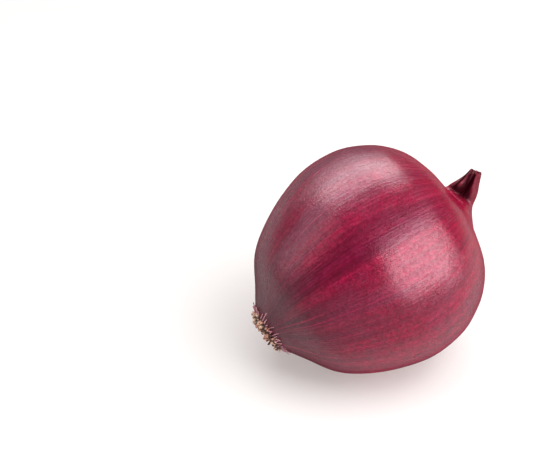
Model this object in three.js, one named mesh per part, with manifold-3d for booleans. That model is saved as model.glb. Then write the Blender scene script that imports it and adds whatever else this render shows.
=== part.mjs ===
// One red onion, lying on its side on a small flat spot.
// Millimetres, +Z up. The origin is the middle of the flat spot, and the
// onion's own axis lies over +X, with the neck higher than the roots.
import * as THREE from 'three';
import { mergeVertices } from 'three/addons/utils/BufferGeometryUtils.js';
import Module from 'manifold-3d';

const wasm = await Module();
wasm.setup();

// Driving dimensions
const WAIST_RADIUS = 40;
const NECK_RISE_DEGREES = 24.5;
const ROOT_FACE_RADIUS = 7.5;
const ROOT_FACE_DISTANCE = 43;
const NECK_BEND_START = 34;
const NECK_TILT_LENGTH = 6;
const NECK_TIP = 48.5;
const NECK_TIP_RADIUS = 1.9;
const NECK_TIP_LIFT = 7.5;
const NECK_LEAN = 1;
const ROOT_BEND_START = -18;
const ROOT_LIFT = 1;
const FLAT_SPOT_DEPTH = 0.7;
const FIT_GAP = 0.3;

// Skin and neck
const TURNS = 80;
const PROFILE_STEPS = 48;
const PLEATS = 7;
const BROAD_FOLDS = 3;
const PLEAT_START = 33;
const PLEAT_DEPTH = 0.14;
const BROAD_FOLD_DEPTH = 0.06;
const NECK_FLATNESS = 0.26;
const NECK_FLAT_TURN_DEGREES = 15;

// Clipped dry roots on the face of the root end
const CROWN_RADIUS = 7.1;
const CROWN_BULGE = 1.2;
const CROWN_RIM = 0.45;
const CROWN_RIM_STEP = 0.4;
const CROWN_TURNS = 32;
const CROWN_PROFILE_STEPS = 6;
// A ring's splay is how far its roots lean outwards, in degrees
const ROOT_RINGS = [
  { radius: 5.9, count: 16, splay: 58, length: 2.4 },
  { radius: 3.9, count: 11, splay: 40, length: 2.2 },
  { radius: 1.9, count: 6, splay: 18, length: 2.1 },
];
const ROOT_THICKNESS = 1.5;
const ROOT_TIP_THICKNESS = 0.9;
const ROOT_SIDES = 7;

// Distance along the axis from the waist, and radius there, from the root end to the neck
const SKIN_OUTLINE = [
  [-ROOT_FACE_DISTANCE, ROOT_FACE_RADIUS],
  [-37.8, 15.4],
  [-31.4, 25.1],
  [-23, 31.6],
  [-12, 36.9],
  [0, WAIST_RADIUS],
  [12.7, 39.1],
  [22.2, 34.9],
  [28.2, 30],
  [32.4, 24.2],
  [35.2, 16.4],
  [36.6, 11.2],
  [37.8, 7.6],
  [39.2, 5.6],
  [41.5, 4.4],
  [45, 2.9],
  [NECK_TIP, NECK_TIP_RADIUS],
];

const radians = THREE.MathUtils.degToRad;
const axis = new THREE.Vector3(Math.cos(radians(NECK_RISE_DEGREES)), 0, Math.sin(radians(NECK_RISE_DEGREES)));

// A closed body with shared corners and no collapsed triangles.
function closedGeometry(geometry) {
  geometry.deleteAttribute('normal');
  geometry.deleteAttribute('uv');
  const merged = mergeVertices(geometry, 1e-4);
  const corners = merged.index.array;
  const kept = [];
  for (let i = 0; i < corners.length; i += 3) {
    const [a, b, c] = corners.subarray(i, i + 3);
    if (a !== b && b !== c && c !== a) kept.push(a, b, c);
  }
  merged.setIndex(kept);
  return merged;
}

function toSolid(geometry) {
  const closed = closedGeometry(geometry);
  return new wasm.Manifold(new wasm.Mesh({
    numProp: 3,
    vertProperties: new Float32Array(closed.attributes.position.array),
    triVerts: new Uint32Array(closed.index.array),
  }));
}

function toGeometry(solid) {
  const mesh = solid.getMesh();
  const geometry = new THREE.BufferGeometry();
  geometry.setAttribute('position', new THREE.BufferAttribute(new Float32Array(mesh.vertProperties), 3));
  geometry.setIndex(new THREE.BufferAttribute(new Uint32Array(mesh.triVerts), 1));
  geometry.computeVertexNormals();
  return geometry;
}

// The middle line at this distance along the axis: how far it is lifted, how far it leans
// aside, and the slope that its sections take. The neck turns up towards its tip, and the
// root end turns up less. The wide sections of the shoulder stay square to the axis.
function bend(distance) {
  const neckLength = NECK_TIP - NECK_BEND_START;
  const neck = Math.max(0, (distance - NECK_BEND_START) / neckLength);
  const root = Math.max(0, (distance - ROOT_BEND_START) / (-ROOT_FACE_DISTANCE - ROOT_BEND_START));
  const tilted = THREE.MathUtils.smoothstep(distance, NECK_BEND_START, NECK_BEND_START + NECK_TILT_LENGTH);
  return {
    lift: NECK_TIP_LIFT * neck ** 2 + ROOT_LIFT * root ** 2,
    aside: NECK_LEAN * neck ** 2,
    slope: tilted * Math.atan(2 * NECK_TIP_LIFT * neck / neckLength),
  };
}

// The papery skin gathers into pleats as it draws in towards the flattened neck.
function pleat(distance, turn) {
  const share = THREE.MathUtils.smoothstep(distance, PLEAT_START, NECK_TIP);
  const pleats = PLEAT_DEPTH * Math.cos(PLEATS * turn) + BROAD_FOLD_DEPTH * Math.cos(BROAD_FOLDS * turn + 1);
  return 1 + share * (pleats + NECK_FLATNESS * Math.cos(2 * (turn - radians(NECK_FLAT_TURN_DEGREES))));
}

// Turned about Y first, then pleated and bent, then laid over.
function bulbGeometry() {
  const outline = new THREE.SplineCurve(SKIN_OUTLINE.map(([distance, radius]) => new THREE.Vector2(radius, distance)));
  const ends = [new THREE.Vector2(0, -ROOT_FACE_DISTANCE), new THREE.Vector2(0, NECK_TIP)];
  const geometry = new THREE.LatheGeometry([ends[0], ...outline.getSpacedPoints(PROFILE_STEPS), ends[1]], TURNS);
  const point = geometry.attributes.position;
  for (let i = 0; i < point.count; i += 1) {
    const distance = point.getY(i);
    const fold = pleat(distance, Math.atan2(point.getZ(i), point.getX(i)));
    const { lift, aside, slope } = bend(distance);
    const across = point.getX(i) * fold;
    const along = distance + across * Math.sin(slope);
    point.setXYZ(i, across * Math.cos(slope) - lift, along, point.getZ(i) * fold + aside);
  }
  return geometry;
}

function stub(ring, place) {
  const turn = 2 * Math.PI * (place + 0.5 * (ring.count % 2)) / ring.count;
  const root = new THREE.CylinderGeometry(ROOT_TIP_THICKNESS / 2, ROOT_THICKNESS / 2, 2 * ring.length, ROOT_SIDES);
  root.rotateX(Math.PI + radians(ring.splay));
  root.translate(0, 0, -ring.radius);
  root.rotateY(turn);
  return toSolid(root);
}

// A domed plate, with its clipped roots standing out of it.
function rootCrownGeometry() {
  const dome = new THREE.QuadraticBezierCurve(
    new THREE.Vector2(0, -CROWN_BULGE),
    new THREE.Vector2(0.7 * CROWN_RADIUS, -CROWN_BULGE),
    new THREE.Vector2(CROWN_RADIUS, -CROWN_RIM),
  );
  const back = [new THREE.Vector2(CROWN_RADIUS - CROWN_RIM_STEP, 0), new THREE.Vector2(0, 0)];
  let crown = toSolid(new THREE.LatheGeometry([...dome.getPoints(CROWN_PROFILE_STEPS), ...back], CROWN_TURNS));
  for (const ring of ROOT_RINGS) {
    for (let place = 0; place < ring.count; place += 1) crown = crown.add(stub(ring, place));
  }
  const behind = new THREE.BoxGeometry(4 * CROWN_RADIUS, 2 * CROWN_RADIUS, 4 * CROWN_RADIUS);
  behind.translate(0, CROWN_RADIUS, 0);
  const trimmed = toGeometry(crown.subtract(toSolid(behind)));
  trimmed.translate(-ROOT_LIFT, -ROOT_FACE_DISTANCE - FIT_GAP, 0);
  return trimmed;
}

// From the turning frame, with the onion's axis along Y, to the pose it rests in.
function layOver(geometry) {
  const rise = new THREE.Vector3(-axis.z, 0, axis.x);
  const side = new THREE.Vector3().crossVectors(rise.clone().negate(), axis);
  return geometry.applyMatrix4(new THREE.Matrix4().makeBasis(rise.negate(), axis, side));
}

// Cut the flat spot and return the body with the height and middle of that spot.
function cutFlatSpot(geometry) {
  geometry.computeBoundingBox();
  const floor = geometry.boundingBox.min.z + FLAT_SPOT_DEPTH;
  const below = new THREE.BoxGeometry(4 * WAIST_RADIUS, 4 * WAIST_RADIUS, WAIST_RADIUS);
  below.translate(0, 0, floor - WAIST_RADIUS / 2);
  const body = toGeometry(toSolid(geometry).subtract(toSolid(below)));
  const spot = new THREE.Box3();
  const corner = new THREE.Vector3();
  for (let i = 0; i < body.attributes.position.count; i += 1) {
    corner.fromBufferAttribute(body.attributes.position, i);
    if (corner.z < floor + 1e-3) spot.expandByPoint(corner);
  }
  return { body, middle: spot.getCenter(new THREE.Vector3()).setZ(floor) };
}

function finish(name, geometry, color, roughness) {
  const mesh = new THREE.Mesh(geometry, new THREE.MeshStandardMaterial({ color, roughness, metalness: 0 }));
  mesh.name = name;
  return mesh;
}

const { body, middle } = cutFlatSpot(layOver(bulbGeometry()));
const crown = layOver(rootCrownGeometry());

const group = new THREE.Group();
group.name = 'red_onion';
for (const part of [finish('bulb', body, 0x7a1f3c, 0.4), finish('root_crown', crown, 0xc49a72, 0.9)]) {
  part.geometry.translate(-middle.x, -middle.y, -middle.z);
  group.add(part);
}

export default group;
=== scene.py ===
import math
import random

import bmesh
import bpy
from mathutils import Matrix, Vector, noise


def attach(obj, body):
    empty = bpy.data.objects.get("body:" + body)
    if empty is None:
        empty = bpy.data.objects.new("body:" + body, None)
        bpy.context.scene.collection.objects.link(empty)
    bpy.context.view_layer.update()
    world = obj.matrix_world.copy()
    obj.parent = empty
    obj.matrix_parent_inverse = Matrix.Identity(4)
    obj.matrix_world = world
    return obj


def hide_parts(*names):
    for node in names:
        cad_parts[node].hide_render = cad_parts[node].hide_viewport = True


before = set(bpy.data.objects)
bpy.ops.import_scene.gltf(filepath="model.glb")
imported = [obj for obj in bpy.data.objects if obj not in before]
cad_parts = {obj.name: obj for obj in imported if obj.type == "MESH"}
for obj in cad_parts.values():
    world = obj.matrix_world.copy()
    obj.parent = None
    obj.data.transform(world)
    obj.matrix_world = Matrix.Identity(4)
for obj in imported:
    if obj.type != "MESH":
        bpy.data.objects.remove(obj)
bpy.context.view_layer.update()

bl_info = {
    "name": "Red Onion",
    "version": (1, 0, 0),
    "blender": (4, 5, 0),
    "location": "View3D > Sidebar > Onion",
    "description": "Builds a dry red onion with its skin, pinched neck and clipped roots",
    "category": "Add Mesh",
}

MM = 0.001

# Depths of the neck's folds, as shares of its radius
PLEAT_DEPTH = 0.14
FINE_PLEAT_DEPTH = 0.04
NECK_FLATNESS = 0.26
SKIRT_DEPTH = 0.16
HOLLOW_DEPTH = 0.62

# The neck's cut end, and the dimple behind the root plate
NECK_WALL = 0.35 * MM
RAGGED_LENGTH = 4 * MM
RAGGED_DEPTH = 1.0 * MM
ROOT_DIMPLE = 0.6 * MM

# Faint ribs and swellings of the flesh under the skin: depth as a share of the radius,
# fineness round the onion, change along it, and where in the noise they start
SKIN_RIBS = (
    (0.0060, 1.1, 1.0, 3.0),
    (0.0040, 3.2, 0.8, 9.0),
    (0.0017, 11.0, 1.2, 21.0),
    (0.0008, 26.0, 2.0, 33.0),
)

# The root plate
PLATE_TURNS = 72
PLATE_STEPS = 14
PLATE_BULGE = 1.3 * MM
PLATE_ROUGHNESS = 0.22 * MM

# Rings of clipped roots: place as a share of the plate's radius, number of roots,
# lean outwards in degrees, length and thickness in millimetres
ROOT_RINGS = (
    (0.94, 30, 40, 1.7, 1.15),
    (0.76, 23, 30, 1.9, 1.3),
    (0.54, 15, 20, 1.9, 1.3),
    (0.28, 8, 10, 1.8, 1.2),
)

# The skin's angle away from the axis where it meets the root plate, in degrees
ROOT_SKIN_SLOPE = 56.6

FLOOR_REACH = 4.0


# Skin outline and middle line

def outline_points(shape):
    """Distance along the axis from the waist, and radius there, from the root face to the neck tip."""
    return [
        (-shape.root_distance, shape.root_radius),
        (-37.8 * MM, 15.4 * MM),
        (-31.4 * MM, 25.1 * MM),
        (-23.0 * MM, 31.6 * MM),
        (-12.0 * MM, 36.9 * MM),
        (0.0, shape.waist_radius),
        (12.7 * MM, 39.1 * MM),
        (22.2 * MM, 34.9 * MM),
        (28.2 * MM, 30.0 * MM),
        (32.4 * MM, 24.2 * MM),
        (35.2 * MM, 16.4 * MM),
        (36.6 * MM, 11.2 * MM),
        (37.8 * MM, 7.6 * MM),
        (39.2 * MM, 5.6 * MM),
        (41.5 * MM, 4.4 * MM),
        (45.0 * MM, 2.9 * MM),
        (shape.neck_tip, shape.neck_tip_radius),
    ]


def smooth_outline(points, steps):
    """Points on a smooth curve through all the outline points."""
    padded = [points[0], *points, points[-1]]
    curve = []
    for before, start, end, after in zip(padded, padded[1:], padded[2:], padded[3:]):
        for step in range(steps):
            t = step / steps
            place = []
            for a, b, c, d in zip(before, start, end, after):
                slope_in = (c - a) / 2
                slope_out = (d - b) / 2
                cubic = (2 * b - 2 * c + slope_in + slope_out) * t ** 3
                square = (3 * c - 3 * b - 2 * slope_in - slope_out) * t ** 2
                place.append(cubic + square + slope_in * t + b)
            curve.append(tuple(place))
    curve.append(points[-1])
    return curve


def share(value, low, high):
    """0 below low, 1 above high, and a smooth step between them."""
    part = min(1.0, max(0.0, (value - low) / (high - low)))
    return part * part * (3 - 2 * part)


def bend(shape, distance):
    """The middle line here: how far it is lifted, how far it leans aside, and how its sections slope."""
    neck_length = shape.neck_tip - shape.neck_bend_start
    neck = max(0.0, (distance - shape.neck_bend_start) / neck_length)
    root = max(0.0, (-shape.root_bend_start - distance) / (shape.root_distance - shape.root_bend_start))
    lift = shape.neck_lift * neck ** 2 + shape.root_lift * root ** 2
    aside = -shape.neck_lean * neck ** 2
    slope = math.atan(2 * shape.neck_lift * neck / neck_length)
    slope *= share(distance, shape.neck_bend_start, shape.neck_bend_start + shape.neck_tilt_length)
    return lift, aside, slope


def lay_over(shape):
    """The turn from upright, with the axis along Z, to the pose that the onion rests in."""
    return Matrix.Rotation(math.radians(90) - shape.neck_rise, 4, "Y")


def streak_noise(turn, along, fineness, stretch, seed=0.0):
    """Noise that runs in streaks from root to neck and closes on itself round the onion."""
    spot = Vector((math.cos(turn) * fineness, math.sin(turn) * fineness, along * stretch + seed))
    return noise.noise(spot)


# Meshes

def new_piece(name, mesh_maker):
    """An object at the origin, with the mesh that the given function makes."""
    mesh = bpy.data.meshes.new(name)
    maker = bmesh.new()
    mesh_maker(maker)
    maker.to_mesh(mesh)
    maker.free()
    mesh.shade_smooth()
    piece = bpy.data.objects.new(name, mesh)
    bpy.context.scene.collection.objects.link(piece)
    return piece


def spun(maker, profile, steps):
    """A closed body turned about Z from (radius, height) points that start and end on the axis."""
    corners = [maker.verts.new((radius, 0, height)) for radius, height in profile]
    edges = [maker.edges.new(pair) for pair in zip(corners, corners[1:])]
    bmesh.ops.spin(maker, geom=corners + edges, cent=(0, 0, 0), axis=(0, 0, 1), angle=math.tau,
                   steps=steps, use_merge=True, use_duplicate=False)
    bmesh.ops.remove_doubles(maker, verts=maker.verts, dist=1e-6)
    bmesh.ops.recalc_face_normals(maker, faces=maker.faces)


def around(turn, middle, spread, power):
    """1 at the middle turn, in degrees, falling to 0 beyond the spread."""
    apart = turn - math.radians(middle)
    degrees = math.degrees(math.atan2(math.sin(apart), math.cos(apart)))
    return math.exp(-abs(degrees / spread) ** power)


def near_tip(shape, distance):
    """0 up to the ragged end of the neck, and 1 at its cut."""
    return share(distance, shape.neck_tip - RAGGED_LENGTH, shape.neck_tip)


def neck_hollow(shape, distance, turn):
    """The deep hollow down one side of the neck, which narrows towards the tip: 0 to 1."""
    spread = 62 - 42 * share(distance, shape.neck_start + 10 * MM, shape.neck_tip - 2 * MM)
    opened = share(distance, shape.neck_start + 9.4 * MM, shape.neck_start + 10.8 * MM)
    return around(turn, shape.hollow_turn, spread, 4) * opened * (1 - 0.4 * near_tip(shape, distance))


def neck_skirt(shape, distance, turn):
    """The flare of the smooth strip where the neck leaves the bulb: 0 to 1."""
    rising = share(distance, shape.neck_start + 5.5 * MM, shape.neck_start + 8 * MM)
    falling = 1 - share(distance, shape.neck_start + 8 * MM, shape.neck_start + 11 * MM)
    return around(turn, shape.strip_turn + 19, 50, 2) * rising * falling


def neck_section(shape, distance, turn):
    """How the gathered skin stands out of its round outline: (radius factor, fold depth 0 to 1)."""
    gathered = share(distance, shape.neck_start + 3 * MM, shape.neck_tip - 6 * MM)
    tight = share(distance, shape.neck_start + 8 * MM, shape.neck_tip - 4 * MM)
    wander = turn + 0.2 * math.sin(distance / (4 * MM)) + 0.02 * (distance - shape.neck_start) / MM
    ridges = 2 / math.pi * math.asin(math.sin(shape.pleats * wander + 0.9 * math.sin(2 * turn)))
    fine = math.cos((2 * shape.pleats + 3) * wander + 1.7 * math.sin(turn))
    strip = around(turn, shape.strip_turn, 34, 2)
    flat = math.cos(2 * (turn - math.radians(shape.flat_turn)))
    hollow = neck_hollow(shape, distance, turn)
    smoothed = (1 - 0.6 * strip) * (1 - 0.85 * near_tip(shape, distance))
    pleated = gathered * smoothed * (PLEAT_DEPTH * ridges + FINE_PLEAT_DEPTH * fine)
    flared = NECK_FLATNESS * tight * flat + SKIRT_DEPTH * neck_skirt(shape, distance, turn)
    depth = max(hollow, gathered * (0.8 - 0.7 * strip) * (0.55 - 0.45 * ridges))
    return 1 + pleated + flared - HOLLOW_DEPTH * hollow, depth


def skin_ribs(turn, along):
    """The ribs and swellings of the flesh under the skin, as a share of the radius."""
    return sum(depth * streak_noise(turn, along, *place) for depth, *place in SKIN_RIBS)


def make_bulb(maker, shape):
    """The skin from the root face to the hollow end of the neck, turned upright and then shaped."""
    outline = smooth_outline(outline_points(shape), shape.outline_steps)
    inner = shape.neck_tip_radius - NECK_WALL
    profile = [
        (0.0, -shape.root_distance + ROOT_DIMPLE),
        *[(radius, distance) for distance, radius in outline],
        (inner, shape.neck_tip),
        (0.75 * inner, shape.neck_tip - 2.5 * MM),
        (0.0, shape.neck_tip - 3.5 * MM),
    ]
    spun(maker, profile, shape.turns)
    place = maker.verts.layers.float_vector.new("skin_place")
    depth = maker.verts.layers.float.new("fold_depth")
    length = shape.root_distance + shape.neck_tip
    for corner in maker.verts:
        x, y, distance = corner.co
        radius = math.hypot(x, y)
        turn = math.atan2(y, x)
        along = (distance + shape.root_distance) / length
        factor, fold = neck_section(shape, distance, turn)
        factor += skin_ribs(turn, along)
        jag = near_tip(shape, distance) * RAGGED_DEPTH * streak_noise(turn, 0.0, 1.6, 1.0, 5.0)
        lift, aside, slope = bend(shape, distance)
        across = math.cos(turn) * radius * factor
        corner.co.x = across * math.cos(slope) - lift - jag * math.sin(slope)
        corner.co.y = math.sin(turn) * radius * factor + aside
        corner.co.z = distance + across * math.sin(slope) + jag * math.cos(slope)
        twisted = turn + shape.twist * distance / shape.waist_radius
        corner[place] = (math.cos(twisted), math.sin(twisted), along)
        corner[depth] = fold
    bmesh.ops.transform(maker, matrix=lay_over(shape), verts=maker.verts)
    settle(maker, shape)


def settle(maker, shape):
    """Lowers the bulb onto its flat spot, with the middle of the spot at the origin."""
    floor = min(corner.co.z for corner in maker.verts) + shape.flat_depth
    touching = [corner.co.x for corner in maker.verts if corner.co.z < floor]
    middle = (min(touching) + max(touching)) / 2
    shape.stand_x = -middle
    shape.stand_z = -floor
    bmesh.ops.translate(maker, vec=(-middle, 0, -floor), verts=maker.verts)
    for corner in maker.verts:
        corner.co.z = max(corner.co.z, 0.0)


def root_frame(shape):
    """From upright, with the root face at the origin and looking along -Z, to its place on the onion."""
    to_face = Matrix.Translation((-shape.root_lift, 0, -shape.root_distance))
    to_floor = Matrix.Translation((shape.stand_x, 0, shape.stand_z))
    return to_floor @ lay_over(shape) @ to_face


def make_root_plate(maker, shape):
    """The domed plate at the root end, with a rough surface and a back sunk in the bulb."""
    rim = 0.985 * shape.root_radius
    profile = [(0.0, 2.0 * MM), (0.8 * shape.root_radius, 1.6 * MM), (rim, 0.6 * MM)]
    for step in range(1, PLATE_STEPS + 1):
        slope = step / PLATE_STEPS * math.pi / 2
        profile.append((rim * math.cos(slope), -PLATE_BULGE * math.sin(slope) ** 1.2))
    spun(maker, profile, PLATE_TURNS)
    for corner in maker.verts:
        if corner.co.z < 0.4 * MM:
            rough = noise.fractal(corner.co * 900, 0.8, 2.2, 4)
            corner.co += PLATE_ROUGHNESS * rough * corner.normal
    bmesh.ops.transform(maker, matrix=root_frame(shape), verts=maker.verts)


def grow_root(maker, tone, base, direction, length, thickness, dice, sides=9, rings=7, pink=0.0):
    """One clipped dry root: a tapered, knotted and slightly bent stub with a blunt end."""
    made = bmesh.ops.create_cone(maker, cap_ends=True, segments=sides, radius1=thickness / 2,
                                 radius2=thickness * dice.uniform(0.26, 0.42), depth=length)
    touching = dict.fromkeys(edge for corner in made["verts"] for edge in corner.link_edges)
    sides_only = [edge for edge in touching if abs(edge.verts[0].co.z - edge.verts[1].co.z) > length / 2]
    bmesh.ops.subdivide_edges(maker, edges=sides_only, cuts=rings)
    reach = [corner for corner in maker.verts if not corner.tag]
    seed = Vector((dice.uniform(0, 50), 0, 0))
    curl = Vector((dice.uniform(-1, 1), dice.uniform(-1, 1), 0)) * length * 0.22
    shade = dice.random()
    turn_to = Vector((0, 0, 1)).rotation_difference(direction).to_matrix().to_4x4()
    for corner in reach:
        corner.tag = True
        up = corner.co.z / length + 0.5
        knot = 1 + 0.28 * noise.noise(seed + Vector((0, up * 3.5, 0)))
        knot += 0.18 * noise.noise(corner.co * 1600 + seed)
        corner.co.x *= knot
        corner.co.y *= knot
        corner.co += curl * up * up
        corner.co.z = length * up
        corner[tone] = (shade, up, pink)
        corner.co = base + turn_to @ corner.co


def make_roots(maker, shape):
    """The clipped roots, in rings on the plate."""
    dice = random.Random(shape.seed)
    tone = maker.verts.layers.float_vector.new("root_tone")
    for spread, count, splay, length, thickness in ROOT_RINGS:
        for place in range(count):
            turn = (place + dice.uniform(-0.35, 0.35)) / count * math.tau
            out = Vector((math.cos(turn), math.sin(turn), 0))
            lean = math.radians(splay + dice.uniform(-13, 13))
            direction = out * math.sin(lean) - Vector((0, 0, 1)) * math.cos(lean)
            direction += Vector((-out.y, out.x, 0)) * dice.uniform(-0.3, 0.3)
            base = out * shape.root_radius * spread * dice.uniform(0.95, 1.03)
            base.z = -1.1 * MM * (1 - spread ** 3) + 0.5 * MM
            grow_root(maker, tone, base, direction.normalized(), length * MM * dice.uniform(0.55, 1.25),
                      thickness * MM * dice.uniform(0.6, 1.3), dice)
    bmesh.ops.recalc_face_normals(maker, faces=maker.faces)
    bmesh.ops.transform(maker, matrix=root_frame(shape), verts=maker.verts)


def make_slivers(maker, shape):
    """Thin dry root hairs and skin splinters that lie back from the plate along the skin."""
    dice = random.Random(shape.seed + 1)
    tone = maker.verts.layers.float_vector.new("root_tone")
    for place in range(shape.slivers):
        turn = (place + dice.uniform(-0.45, 0.45)) / shape.slivers * math.tau
        out = Vector((math.cos(turn), math.sin(turn), 0))
        slope = math.radians(ROOT_SKIN_SLOPE)
        along = out * math.sin(slope) + Vector((0, 0, 1)) * math.cos(slope)
        proud = out * math.cos(slope) - Vector((0, 0, 1)) * math.sin(slope)
        base = out * shape.root_radius + along * dice.uniform(-0.6, 0.9) * MM
        base += proud * dice.uniform(0.0, 0.2) * MM
        way = along + proud * dice.uniform(0.02, 0.22)
        way += Vector((-out.y, out.x, 0)) * dice.uniform(-0.25, 0.25)
        grow_root(maker, tone, base, way.normalized(), dice.uniform(1.6, 4.6) * MM,
                  dice.uniform(0.3, 0.6) * MM, dice, sides=6, rings=4, pink=1.0)
    bmesh.ops.recalc_face_normals(maker, faces=maker.faces)
    bmesh.ops.transform(maker, matrix=root_frame(shape), verts=maker.verts)


# Finishes

class Wire:
    """A node's output that adds Math nodes when it is used in an expression."""

    def __init__(self, finish, socket):
        self.finish = finish
        self.socket = socket

    def __add__(self, other):
        return self.finish.math("ADD", self, other)

    def __sub__(self, other):
        return self.finish.math("SUBTRACT", self, other)

    def __rsub__(self, other):
        return self.finish.math("SUBTRACT", other, self)

    def __mul__(self, other):
        return self.finish.math("MULTIPLY", self, other)

    __radd__ = __add__
    __rmul__ = __mul__


class Finish:
    """A material and its shader, with one method that adds any node."""

    def __init__(self, name):
        self.material = bpy.data.materials.new(name)
        self.material.use_nodes = True
        self.tree = self.material.node_tree
        self.shader = self.tree.nodes["Principled BSDF"]

    def feed(self, socket, value):
        """Links a wire to a socket, or sets its value."""
        if isinstance(value, Wire):
            self.tree.links.new(value.socket, socket)
        elif socket.type == "RGBA":
            socket.default_value = (*value, 1.0)
        else:
            socket.default_value = value

    def node(self, kind, settings=None, inputs=None, output=0):
        """Adds a node, applies its settings, then feeds its sockets, and returns one output."""
        made = self.tree.nodes.new(kind)
        for name, value in (settings or {}).items():
            setattr(made, name, value)
        for key, value in (inputs or {}).items():
            self.feed(made.inputs[key], value)
        return Wire(self, made.outputs[output])

    def math(self, operation, *values):
        """Arithmetic on numbers."""
        return self.node("ShaderNodeMath", {"operation": operation}, dict(enumerate(values)))

    def vector(self, operation, *values):
        """Arithmetic on vectors."""
        return self.node("ShaderNodeVectorMath", {"operation": operation}, dict(enumerate(values)))

    def mix(self, factor, first, second):
        """A colour between two colours."""
        return self.node("ShaderNodeMix", {"data_type": "RGBA", "clamp_factor": True},
                         {0: factor, 6: first, 7: second}, output=2)

    def step(self, value, low, high, start=0.0, end=1.0):
        """A smooth step from start at low to end at high."""
        return self.node("ShaderNodeMapRange", {"interpolation_type": "SMOOTHSTEP"},
                         {"Value": value, "From Min": low, "From Max": high, "To Min": start, "To Max": end})

    def noise(self, vector, scale, detail, roughness, distortion=0.0):
        """Soft noise from 0 to 1."""
        return self.node("ShaderNodeTexNoise", {"noise_dimensions": "3D"},
                         {"Vector": vector, "Scale": scale, "Detail": detail, "Roughness": roughness,
                          "Distortion": distortion})

    def attribute(self, name, output):
        """A value that the mesh holds at its corners: output 1 is its vector and 2 its number."""
        return self.node("ShaderNodeAttribute", {"attribute_name": name}, output=output)

    def axis(self, vector, number):
        """One of a vector's three numbers."""
        return self.node("ShaderNodeSeparateXYZ", inputs={0: vector}, output=number)

    def spot(self):
        """The place on the object, in metres."""
        return self.node("ShaderNodeTexCoord", output=3)

    def bump(self, height, distance, strength):
        """A normal that follows the given height."""
        return self.node("ShaderNodeBump",
                         inputs={"Height": height, "Distance": distance, "Strength": strength})

    def surface(self, **values):
        """Feeds the shader's own sockets, named with underscores for spaces."""
        for name, value in values.items():
            self.feed(self.shader.inputs[name.replace("_", " ")], value)
        return self.material

    def cover(self, factor, colour):
        """Lays a matte colour without gloss over the surface where the factor is 1."""
        matte = self.node("ShaderNodeBsdfPrincipled",
                          inputs={"Base Color": colour, "Roughness": 1.0, "Specular IOR Level": 0.0})
        glossy = Wire(self, self.shader.outputs[0])
        covered = self.node("ShaderNodeMixShader", inputs={0: factor, 1: glossy, 2: matte})
        self.tree.links.new(covered.socket, self.tree.nodes["Material Output"].inputs["Surface"])
        return self.material


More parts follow.
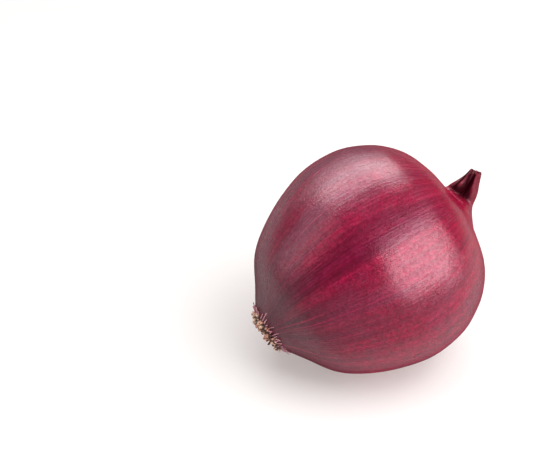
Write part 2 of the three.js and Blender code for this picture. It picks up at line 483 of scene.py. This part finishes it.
def skin_finish(look):
    """Dry red onion skin: deep crimson with lengthwise streaks and veins, dusty at the root."""
    finish = Finish("onion_skin")
    place = finish.attribute("skin_place", 1)
    fold = finish.attribute("fold_depth", 2)
    along = finish.axis(place, 2)
    spot = finish.spot()

    def streaks(fineness, stretch, detail, roughness, offset):
        """Noise in lines from root to neck: the fineness is round the onion, the stretch along it."""
        stretched = finish.vector("MULTIPLY", place, (fineness, fineness, stretch))
        shifted = finish.vector("ADD", stretched, (offset, offset, offset))
        return finish.noise(shifted, 1.0, detail, roughness)

    bands = finish.step(streaks(3.4, 1.3, 2.0, 0.5, 3.7), 0.38, 0.62)
    medium = finish.step(streaks(17.0, 2.6, 4.0, 0.6, 11.0), 0.34, 0.66)
    fine = finish.step(streaks(55.0, 4.5, 3.0, 0.6, 29.0), 0.35, 0.68)
    hair = finish.step(streaks(120.0, 9.0, 2.0, 0.6, 47.0), 0.35, 0.70)
    lines = finish.step(streaks(34.0, 1.6, 2.0, 0.5, 61.0), 0.585, 0.66)
    cross_ridge = finish.math("ABSOLUTE", streaks(6.0, 3.5, 0.0, 0.0, 83.0) - 0.5)
    crossing = finish.step(cross_ridge, 0.0, 0.008, 1.0, 0.0)
    bloom = finish.step(finish.noise(spot, 75.0, 4.0, 0.62), 0.44, 0.66)
    grain = finish.step(finish.noise(spot, 1100.0, 4.0, 0.7), 0.40, 0.60)
    mottle = finish.step(finish.noise(spot, 380.0, 4.0, 0.65, 0.5), 0.42, 0.62)
    wax = finish.step(finish.noise(spot, 800.0, 4.0, 0.7), 0.40, 0.62)

    colour = finish.mix(bands, look.crimson, look.wine)
    colour = finish.mix(medium * 0.6, colour, look.deep)
    colour = finish.mix(mottle * 0.45, colour, look.deep)
    shoulder = finish.step(along, 0.64, 0.84)
    colour = finish.mix(shoulder * (1 - medium * 0.5) * 0.8, colour, look.shoulder)
    colour = finish.mix(bloom * (1 - shoulder * 0.7) * 0.36, colour, look.bloom)
    root_end = finish.step(along, 0.0, 0.27, 1.0, 0.0)
    colour = finish.mix(root_end * 0.88, colour, look.dusty)
    colour = finish.mix(fine * 0.20, colour, look.rose)
    colour = finish.mix(lines * (0.36 + root_end * 0.3), colour, look.vein)
    colour = finish.mix(crossing * 0.16, colour, look.vein)
    colour = finish.mix(grain * 0.5, colour, look.deep)
    neck = finish.step(along, 0.895, 0.922)
    # Painted light and shade on the neck: the deeper a fold, the more it takes the shaded colour, and its
    # ridges take the lit colour
    paper = finish.mix(finish.step(fold, 0.1, 0.5), look.neck_light, look.neck_dark)
    paper = finish.mix(medium * 0.5, paper, look.neck_dark)
    paper = finish.mix(lines * 0.6, paper, look.neck_grey)
    colour = finish.mix(neck, colour, paper)

    height = medium * 0.30 + fine * 0.45 + hair * 0.40 + lines * 0.2 + grain * 0.5
    normal = finish.bump(height, 0.07 * MM, 0.5)
    rough = 0.18 + fine * 0.06 + bloom * 0.07 + root_end * 0.10 + neck * 0.2
    finish.surface(Base_Color=colour, Roughness=rough, Normal=normal, IOR=1.36,
                   Specular_Tint=(1.0, 0.62, 0.70), Coat_Weight=wax * 0.2, Coat_Roughness=0.25)

    # Gloss is lost in the neck, most of all in its folds, and where the skin is seen edge on. The deep folds
    # are also painted with the hollow colour, a painted shade
    shadow = finish.step(fold, 0.35, 0.75) * neck
    facing = finish.node("ShaderNodeLayerWeight", inputs={"Blend": 0.5}, output=1)
    rim = finish.step(facing, 0.45, 0.92) * 0.85
    dull = finish.math("MAXIMUM", neck * 0.5 + shadow * 0.5, rim)
    return finish.cover(dull, finish.mix(shadow, colour, look.hollow))


def root_finish(look):
    """Dry roots: cream to tan fibre, darker and redder near the plate."""
    finish = Finish("dry_root")
    tone = finish.attribute("root_tone", 1)
    shade = finish.axis(tone, 0)
    tip = finish.axis(tone, 1)
    pink = finish.axis(tone, 2)
    grain = finish.noise(finish.spot(), 1800.0, 3.0, 0.6)
    colour = finish.mix(finish.step(shade, 0.35, 0.9), look.root_tan, look.root_cream)
    colour = finish.mix(finish.step(grain, 0.35, 0.7) * 0.45, colour, look.root_pink)
    dark = finish.step(tip, 0.2, 0.85, 1.0, 0.0) + finish.step(shade, 0.1, 0.5, 0.9, 0.0)
    colour = finish.mix(dark * (1 - pink), colour, look.root_dark)
    colour = finish.mix(pink * 0.7, colour, look.hair_pink)
    normal = finish.bump(grain, 0.2 * MM, 0.6)
    return finish.surface(Base_Color=colour, Roughness=0.72, Normal=normal, IOR=1.4)


def plate_finish(look):
    """The dark, crusted plate between the roots."""
    finish = Finish("root_plate")
    grain = finish.noise(finish.spot(), 900.0, 4.0, 0.6)
    colour = finish.mix(finish.step(grain, 0.45, 0.75) * 0.3, look.root_dark, look.root_tan)
    normal = finish.bump(grain, 0.4 * MM, 0.8)
    return finish.surface(Base_Color=colour, Roughness=0.85, Normal=normal, IOR=1.4)


# Settings

def length(name, description, default):
    """A size in metres."""
    return bpy.props.FloatProperty(name=name, description=description, default=default, unit="LENGTH")


def angle(name, description, degrees):
    """An angle that is held in radians."""
    return bpy.props.FloatProperty(name=name, description=description, default=math.radians(degrees),
                                   subtype="ANGLE")


def number(name, description, default):
    """A plain number."""
    return bpy.props.FloatProperty(name=name, description=description, default=default)


def count(name, description, default):
    """A whole number."""
    return bpy.props.IntProperty(name=name, description=description, default=default)


def colour(name, description, default):
    """A colour in linear light."""
    return bpy.props.FloatVectorProperty(name=name, description=description, default=default, size=3,
                                         min=0.0, max=1.0, subtype="COLOR")


class OnionShape(bpy.types.PropertyGroup):
    """Sizes of the bulb, its neck and its roots."""

    waist_radius: length("Waist radius", "Radius at the widest ring", 40 * MM)
    root_radius: length("Root radius", "Radius of the flat root face", 7.5 * MM)
    root_distance: length("Root distance", "From the waist to the root face", 43 * MM)
    root_bend_start: length("Root bend start", "From the waist to where the root end turns up", 18 * MM)
    root_lift: length("Root lift", "How far the root face has turned up", 1 * MM)
    neck_start: length("Neck start", "From the waist to where the skin starts to gather", 30 * MM)
    neck_tip: length("Neck tip", "From the waist to the cut end of the neck", 48.5 * MM)
    neck_tip_radius: length("Neck tip radius", "Radius of the cut end of the neck", 1.9 * MM)
    neck_lift: length("Neck lift", "How far the tip of the neck has turned up", 7.5 * MM)
    neck_lean: length("Neck lean", "How far the tip of the neck leans sideways", 1.0 * MM)
    neck_bend_start: length("Neck bend start", "From the waist to where the neck starts to turn up", 34 * MM)
    neck_tilt_length: length("Neck tilt length", "How gently the neck's sections take up the bend", 6 * MM)
    flat_depth: length("Flat depth", "How much is pressed flat where the onion rests", 0.7 * MM)
    stand_x: length("Stand X", "Set while the bulb is settled on its flat spot", 0.0)
    stand_z: length("Stand Z", "Set while the bulb is settled on its flat spot", 0.0)
    neck_rise: angle("Neck rise", "Angle of the onion's axis above the floor", 24.5)
    twist: angle("Twist", "Turn of the skin's lines for each waist radius", -6)
    hollow_turn: number("Hollow turn", "Where round the neck its hollow is, in degrees", 230)
    strip_turn: number("Strip turn", "Where round the neck its smooth strip is, in degrees", 300)
    flat_turn: number("Flat turn", "The wide way of the flattened neck, in degrees", 345)
    pleats: count("Pleats", "Folds round the neck", 8)
    turns: count("Turns", "Faces round the bulb", 384)
    outline_steps: count("Outline steps", "Faces between outline points", 14)
    slivers: count("Slivers", "Dry root hairs lying on the skin", 46)
    seed: count("Seed", "Start of the random draws", 4)


class OnionLook(bpy.types.PropertyGroup):
    """Colours of the skin, the neck and the roots."""

    deep: colour("Deep", "Darkest streaks of the skin", (0.095, 0.002, 0.015))
    crimson: colour("Crimson", "Main colour of the skin", (0.375, 0.007, 0.050))
    wine: colour("Wine", "Broad purple bands", (0.175, 0.006, 0.043))
    rose: colour("Rose", "Fine paler lines", (0.360, 0.026, 0.080))
    shoulder: colour("Shoulder", "Brighter red towards the neck", (0.310, 0.002, 0.018))
    bloom: colour("Bloom", "Greyish wax on the skin", (0.165, 0.028, 0.064))
    dusty: colour("Dusty", "Greyish purple at the root end", (0.028, 0.008, 0.013))
    vein: colour("Vein", "Thin bright veins", (0.430, 0.012, 0.064))
    neck_dark: colour("Neck dark", "Shaded folds of the neck", (0.035, 0.001, 0.006))
    neck_light: colour("Neck light", "Lit folds of the neck", (0.220, 0.008, 0.028))
    neck_grey: colour("Neck grey", "Dry greenish lines of the neck", (0.085, 0.050, 0.036))
    # Painted shade, laid into the neck's deep folds
    hollow: colour("Hollow", "Inside the folds of the neck", (0.040, 0.003, 0.007))
    root_cream: colour("Root cream", "Palest roots", (0.800, 0.560, 0.400))
    root_tan: colour("Root tan", "Darker roots", (0.480, 0.200, 0.110))
    root_pink: colour("Root pink", "Pink tint on the roots", (0.560, 0.190, 0.170))
    root_dark: colour("Root dark", "Crust between the roots", (0.030, 0.004, 0.006))
    hair_pink: colour("Hair pink", "Root hairs that lie on the skin", (0.620, 0.260, 0.360))


class OnionStudio(bpy.types.PropertyGroup):
    """Place of the camera, and the looks of the floor and the surroundings."""

    azimuth: angle("Azimuth", "Camera's turn round the onion", -25.7)
    elevation: angle("Elevation", "Camera's height above the floor", 35)
    lens: number("Lens", "Focal length in millimetres, for a sensor 36 mm wide", 121.6)
    distance: length("Distance", "From the camera to the onion's middle", 634 * MM)
    right: length("Right", "How far right of the picture's middle the onion's middle is", 35.7 * MM)
    down: length("Down", "How far below the picture's middle the onion's middle is", 12.9 * MM)
    middle: length("Middle", "Height of the onion's middle", 38 * MM)
    floor_colour: colour("Floor colour", "Pale floor", (0.62, 0.61, 0.605))
    floor_light: colour("Floor light", "Colour of the light that the floor adds", (1.0, 0.93, 0.89))
    floor_glow: number("Floor glow", "Strength of the light that the floor adds", 0.36)
    world_glow: number("World glow", "Strength of the even light from all round", 0.15)


# Operators

def finish_piece(piece, node, material):
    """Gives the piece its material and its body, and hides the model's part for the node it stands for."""
    piece.data.materials.append(material)
    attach(piece, "root")
    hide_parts(node)


class ONION_OT_bulb(bpy.types.Operator):
    """Add the bulb with its skin and its pinched neck"""

    bl_idname = "onion.bulb"
    bl_label = "Add Bulb"

    def execute(self, context):
        shape = context.scene.onion_shape
        bulb = new_piece("onion_bulb", lambda maker: make_bulb(maker, shape))
        finish_piece(bulb, "bulb", skin_finish(context.scene.onion_look))
        return {"FINISHED"}


class ONION_OT_root_crown(bpy.types.Operator):
    """Add the root plate, its clipped roots and the stray root hairs"""

    bl_idname = "onion.root_crown"
    bl_label = "Add Root Crown"

    def execute(self, context):
        shape = context.scene.onion_shape
        look = context.scene.onion_look
        roots = root_finish(look)
        plate = new_piece("root_plate", lambda maker: make_root_plate(maker, shape))
        finish_piece(plate, "root_crown", plate_finish(look))
        stubs = new_piece("clipped_roots", lambda maker: make_roots(maker, shape))
        finish_piece(stubs, "root_crown", roots)
        slivers = new_piece("root_hairs", lambda maker: make_slivers(maker, shape))
        finish_piece(slivers, "root_crown", roots)
        return {"FINISHED"}


def camera_axes(studio):
    """The camera's right, up and backward directions."""
    turn, height = studio.azimuth, studio.elevation
    right = Vector((math.cos(turn), math.sin(turn), 0))
    back = Vector((math.sin(turn) * math.cos(height), -math.cos(turn) * math.cos(height), math.sin(height)))
    return right, back.cross(right), back


def add_softbox(name, middle, direction, reach, size, glow, sheen=False):
    """A rectangular light that faces the onion: one for shading, or one that shows as a sheen on the skin."""
    lamp = bpy.data.lights.new(name, "AREA")
    lamp.shape = "RECTANGLE"
    lamp.size, lamp.size_y = size
    lamp.energy = glow * math.pi * size[0] * size[1]
    box = bpy.data.objects.new(name, lamp)
    box.location = middle + direction.normalized() * reach
    box.rotation_euler = direction.to_track_quat("Z", "Y").to_euler()
    box.visible_camera = False
    box.visible_diffuse = not sheen
    box.visible_glossy = sheen
    bpy.context.scene.collection.objects.link(box)


def make_floor(maker):
    """A level square that reaches past the picture on every side."""
    bmesh.ops.create_grid(maker, x_segments=2, y_segments=2, size=FLOOR_REACH)


class ONION_OT_studio(bpy.types.Operator):
    """Add the pale floor, the soft lights and the camera"""

    bl_idname = "onion.studio"
    bl_label = "Add Studio"

    def execute(self, context):
        scene = context.scene
        studio = scene.onion_studio
        right, up, back = camera_axes(studio)
        middle = Vector((0, 0, studio.middle))

        floor = new_piece("studio_floor", make_floor)
        pale = Finish("pale_floor").surface(Base_Color=studio.floor_colour, Roughness=0.9, IOR=1.2,
                                            Emission_Color=studio.floor_light,
                                            Emission_Strength=studio.floor_glow)
        floor.data.materials.append(pale)

        lens = bpy.data.cameras.new("studio_camera")
        lens.lens = studio.lens
        lens.sensor_width = 36
        lens.clip_start = 0.01
        camera = bpy.data.objects.new("studio_camera", lens)
        camera.location = middle - right * studio.right + up * studio.down + back * studio.distance
        camera.rotation_euler = Matrix((right, up, back)).transposed().to_euler()
        scene.collection.objects.link(camera)
        scene.camera = camera

        def aim(x, y, z):
            """A direction from how far it points right, up and back to the camera."""
            return right * x + up * y + back * z

        add_softbox("main_fill", middle, aim(0.62, 0.32, 0.72), 0.62, (0.70, 0.66), 2.5)
        add_softbox("overhead_fill", middle, Vector((0.1, -0.1, 1)), 0.85, (1.1, 1.1), 2.4)
        add_softbox("left_fill", middle, aim(-0.93, 0.35, 0.25), 0.75, (0.4, 0.5), 0.8)
        add_softbox("main_sheen", middle, aim(0.68, 0.0, 0.73), 0.55, (0.82, 0.62), 12.5, sheen=True)
        add_softbox("top_sheen", middle, aim(-0.24, 0.97, -0.02), 0.70, (0.96, 0.44), 10.5, sheen=True)
        add_softbox("rear_sheen", middle, aim(-0.32, 0.81, -0.50), 0.80, (0.90, 0.30), 2.2, sheen=True)
        add_softbox("left_sheen", middle, aim(-0.93, 0.28, 0.25), 0.70, (0.42, 0.52), 3.2, sheen=True)

        world = bpy.data.worlds.new("studio_world")
        world.use_nodes = True
        background = world.node_tree.nodes["Background"]
        background.inputs["Color"].default_value = (1, 1, 1, 1)
        background.inputs["Strength"].default_value = studio.world_glow
        scene.world = world
        scene.view_settings.view_transform = "Standard"
        return {"FINISHED"}


class ONION_PT_panel(bpy.types.Panel):
    """The onion's settings and operators in the sidebar"""

    bl_label = "Red Onion"
    bl_space_type = "VIEW_3D"
    bl_region_type = "UI"
    bl_category = "Onion"

    def draw(self, context):
        for group in (context.scene.onion_shape, context.scene.onion_look, context.scene.onion_studio):
            for name in group.__annotations__:
                self.layout.prop(group, name)
        for operator in OPERATORS:
            self.layout.operator(operator.bl_idname)


OPERATORS = (ONION_OT_bulb, ONION_OT_root_crown, ONION_OT_studio)
GROUPS = {"onion_shape": OnionShape, "onion_look": OnionLook, "onion_studio": OnionStudio}


def register():
    """Registers the settings, the operators and the panel."""
    for group in GROUPS.values():
        bpy.utils.register_class(group)
    for name, group in GROUPS.items():
        setattr(bpy.types.Scene, name, bpy.props.PointerProperty(type=group))
    for operator in OPERATORS:
        bpy.utils.register_class(operator)
    bpy.utils.register_class(ONION_PT_panel)


def unregister():
    """Removes the panel, the operators and the settings."""
    bpy.utils.unregister_class(ONION_PT_panel)
    for operator in reversed(OPERATORS):
        bpy.utils.unregister_class(operator)
    for name in GROUPS:
        delattr(bpy.types.Scene, name)
    for group in GROUPS.values():
        bpy.utils.unregister_class(group)


def main():
    """Builds the onion and its studio."""
    register()
    bpy.ops.onion.bulb()
    bpy.ops.onion.root_crown()
    bpy.ops.onion.studio()


if __name__ == "__main__":
    main()
